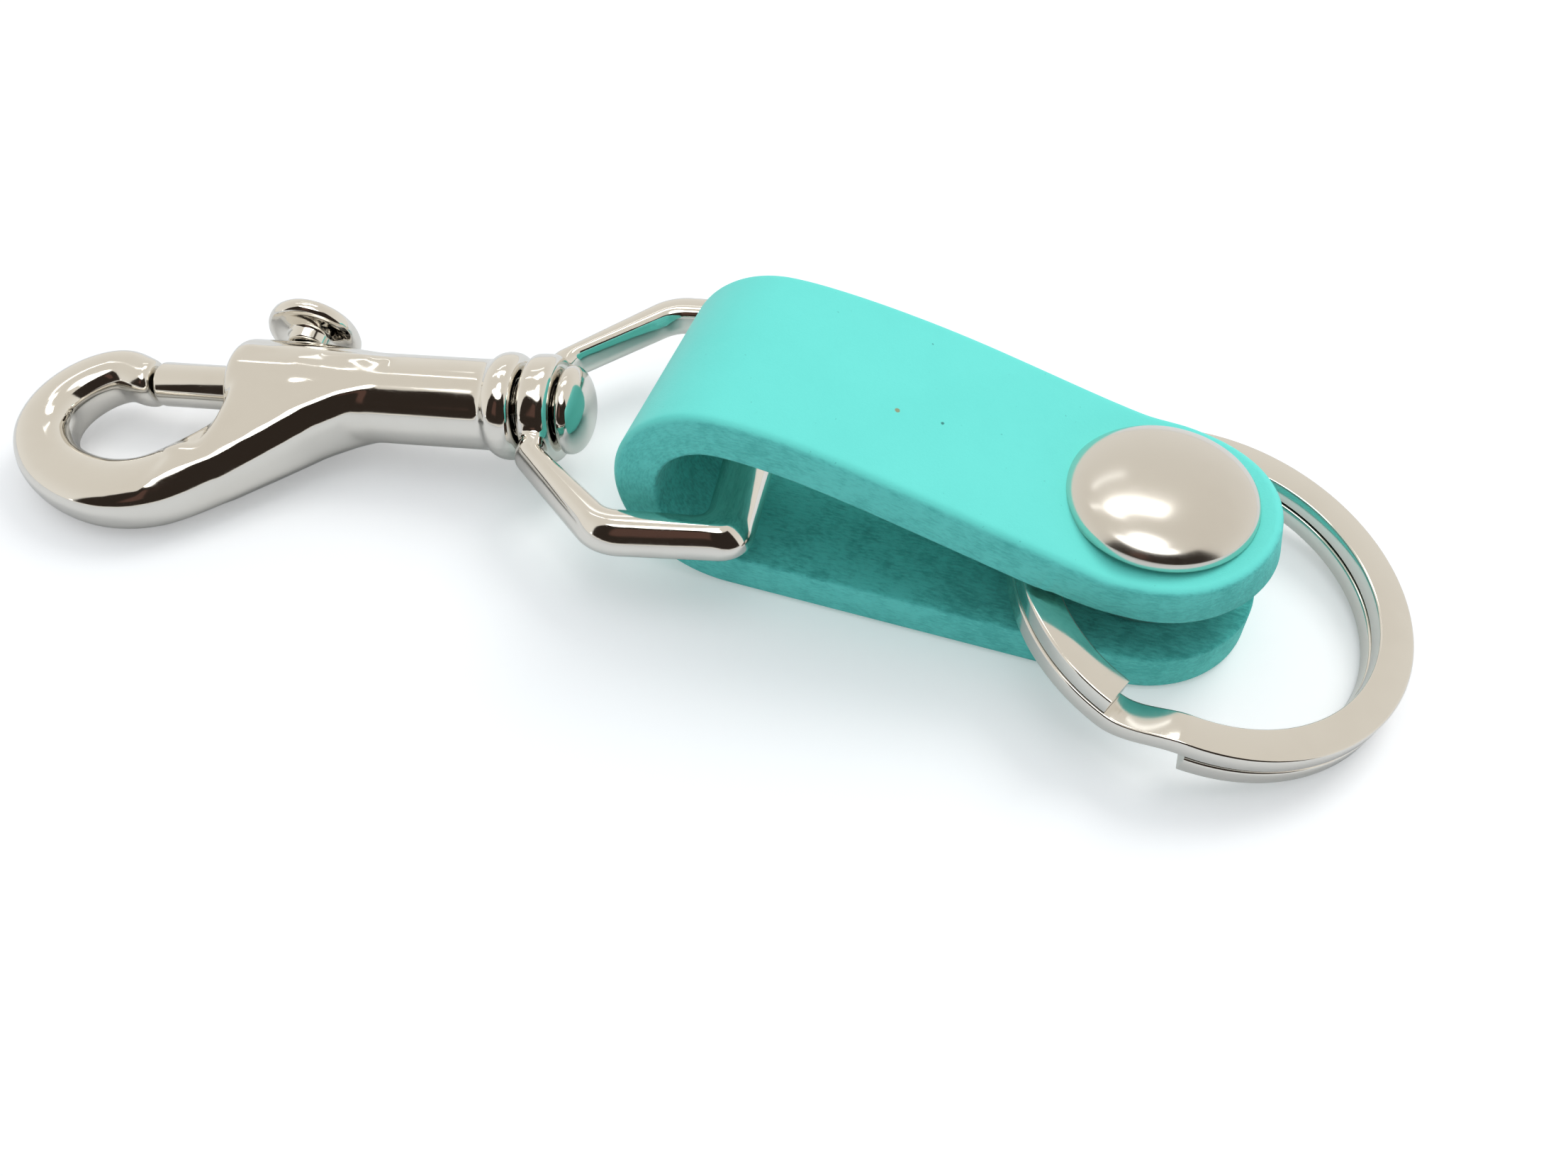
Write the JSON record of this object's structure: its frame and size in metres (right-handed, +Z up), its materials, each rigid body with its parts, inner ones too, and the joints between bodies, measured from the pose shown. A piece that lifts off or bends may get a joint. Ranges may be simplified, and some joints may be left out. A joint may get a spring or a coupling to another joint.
{
  "type": "valet keychain",
  "caption": "Folded leather key strap with a snap, a swivel bolt hook and a split ring that lifts off with the flap.",
  "frame": {"origin": "on the snap's centre line, in the flat underside of the lower strap layer", "axes": "+X along the strap from its fold towards its free ends and the ring, +Y across the strap, +Z up through the snap"},
  "size_m": [0.122, 0.0398, 0.019],
  "materials": {
    "leather": "smooth dyed leather with fibrous cut edges",
    "cap_nickel": "satin nickel plate",
    "nickel": "polished nickel plate on a zinc casting or steel wire",
    "steel": "plain bright steel, hidden inside"
  },
  "bodies": {
    "strap": {"strap_lower": "leather", "snap_stud": "steel", "snap_post": "steel"},
    "flap": {"strap_flap": "leather", "snap_cap": "cap_nickel", "snap_socket": "steel", "socket_spring": "steel"},
    "ring": {"key_ring": "nickel"},
    "eye": {"swivel_eye": "nickel"},
    "hook": {"hook_body": "nickel", "swivel_rivet": "nickel", "bolt_spring": "steel"},
    "bolt": {"bolt": "nickel", "thumb_knob": "nickel"}
  },
  "joints": [
    {"name": "flap_open", "type": "hinge", "parent": "strap", "child": "flap", "pos_m": [-0.0424, 0, 0.0095], "axis": [0, -1, 0], "range_deg": [0, 105]},
    {"name": "ring_spin", "type": "hinge", "parent": "strap", "child": "ring", "pos_m": [0.00551, -0.0014, 0.00467], "axis": [0.1852, 0, 0.9827], "continuous": true},
    {"name": "eye_tilt", "type": "hinge", "parent": "strap", "child": "eye", "pos_m": [-0.034, 0.0026, 0.008], "axis": [-0.1616, 0.9869, 0], "range_deg": [-80, 81]},
    {"name": "hook_swivel", "type": "hinge", "parent": "eye", "child": "hook", "pos_m": [-0.05528, -0.00088, 0.00668], "axis": [0.985, 0.1613, 0.061], "continuous": true},
    {"name": "bolt_slide", "type": "slide", "parent": "hook", "child": "bolt", "axis": [0.985, 0.1613, 0.061], "range_m": [0, 0.008], "stiffness_N_per_m": 120, "springref_m": -0.004, "deforming": ["bolt_spring"]}
  ]
}
